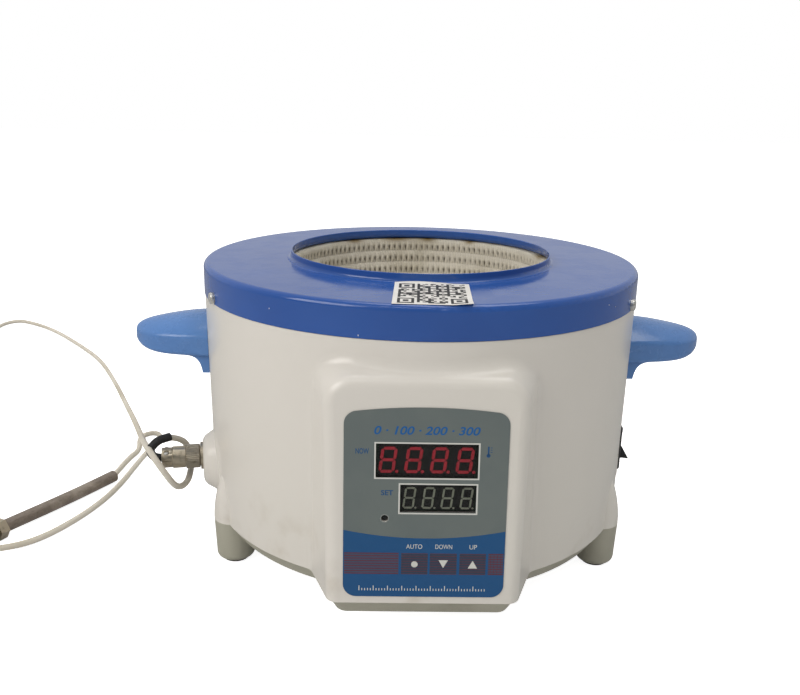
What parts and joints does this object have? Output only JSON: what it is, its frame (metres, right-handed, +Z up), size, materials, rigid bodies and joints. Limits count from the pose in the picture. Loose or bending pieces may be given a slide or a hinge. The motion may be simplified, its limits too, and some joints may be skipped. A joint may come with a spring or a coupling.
{
  "type": "heating mantle",
  "caption": "Round laboratory heating mantle with a knitted bowl for a round-bottom flask, digital controller, side handles and a corded temperature probe.",
  "frame": {"origin": "middle of the appliance's box without the loose probe and its cord, on the bench", "axes": "+Z up, the controller faces -Y, +X towards the rocker switch"},
  "size_m": [0.699, 0.7265, 0.1954],
  "materials": {
    "casing_plastic": "moulded plastic with a light spark texture, slightly yellowed",
    "base_plastic": "grey moulded plastic",
    "pad_rubber": "matt",
    "screw_steel": "zinc plated",
    "cover_paint": "glossy stove enamel",
    "glass_cloth": "knitted glass fibre, matt",
    "insulation_wool": "glass wool",
    "pan_aluminium": "bare",
    "lead_sleeving": "glass fibre sleeving",
    "handle_plastic": "moulded, glossy",
    "film_plastic": "printed film, satin",
    "smoked_pane": "smoked, polished",
    "display_plastic": "black moulding",
    "lamp_plastic": "diffused",
    "board_laminate": "green solder resist",
    "key_plastic": "moulded",
    "switch_plastic": "black moulding",
    "connector_steel": "nickel plated",
    "contact_brass": "plated contact",
    "core_steel": "laminated",
    "terminal_plastic": "moulded",
    "cord_braid": "pale braid",
    "sleeve_rubber": "matt",
    "shrink_plastic": "shrink tubing",
    "probe_steel": "polished stainless"
  },
  "bodies": {
    "mantle": {"housing": "casing_plastic", "base": "base_plastic", "foot_pads": "pad_rubber", "base_screws": "screw_steel", "top_cover": "cover_paint", "cover_screws": "screw_steel", "heating_bowl": "glass_cloth", "insulation": "insulation_wool", "inner_pan": "pan_aluminium", "heater_leads": "lead_sleeving", "handle_left": "handle_plastic", "handle_right": "handle_plastic", "handle_screws": "screw_steel", "panel_film": "film_plastic", "display_pane": "smoked_pane", "display_upper": "display_plastic", "display_lower": "display_plastic", "status_led": "lamp_plastic", "control_board": "board_laminate", "board_screws": "screw_steel", "tact_switches": "display_plastic", "switch_body": "switch_plastic", "sensor_socket": "connector_steel", "socket_nut": "connector_steel", "plug_barrel": "connector_steel", "cord_clamp": "connector_steel", "clamp_screws": "screw_steel", "mains_inlet": "switch_plastic", "inlet_pins": "contact_brass", "inlet_screws": "screw_steel", "power_board": "board_laminate", "power_screws": "screw_steel", "transformer": "core_steel", "heat_sink": "pan_aluminium", "triac": "display_plastic", "terminal_block": "terminal_plastic", "fuse": "contact_brass", "sensor_cord": "cord_braid", "cord_sleeve": "sleeve_rubber", "probe_sleeve": "shrink_plastic", "probe_nuts": "connector_steel", "probe_rod": "probe_steel"},
    "switch_rocker": {"switch_rocker": "switch_plastic"},
    "key_auto": {"key_auto": "key_plastic"},
    "key_down": {"key_down": "key_plastic"},
    "key_up": {"key_up": "key_plastic"},
    "plug_ring": {"plug_ring": "connector_steel"}
  },
  "joints": [
    {"name": "rocker_tilt", "type": "hinge", "parent": "mantle", "child": "switch_rocker", "pos_m": [0.13731, -0.00051, 0.0643], "axis": [0.0523, 0.9986, 0], "range_deg": [0, 28]},
    {"name": "key_auto_press", "type": "slide", "parent": "mantle", "child": "key_auto", "axis": [0, 0.9968, -0.0797], "range_m": [0, 0.0004], "stiffness_N_per_m": 900, "springref_m": -0.0004},
    {"name": "key_down_press", "type": "slide", "parent": "mantle", "child": "key_down", "axis": [0, 0.9968, -0.0797], "range_m": [0, 0.0004], "stiffness_N_per_m": 900, "springref_m": -0.0004},
    {"name": "key_up_press", "type": "slide", "parent": "mantle", "child": "key_up", "axis": [0, 0.9968, -0.0797], "range_m": [0, 0.0004], "stiffness_N_per_m": 900, "springref_m": -0.0004},
    {"name": "plug_ring_turn", "type": "hinge", "parent": "mantle", "child": "plug_ring", "pos_m": [-0.14672, -0.0245, 0.0595], "axis": [-0.9781, -0.2079, 0], "continuous": true}
  ]
}
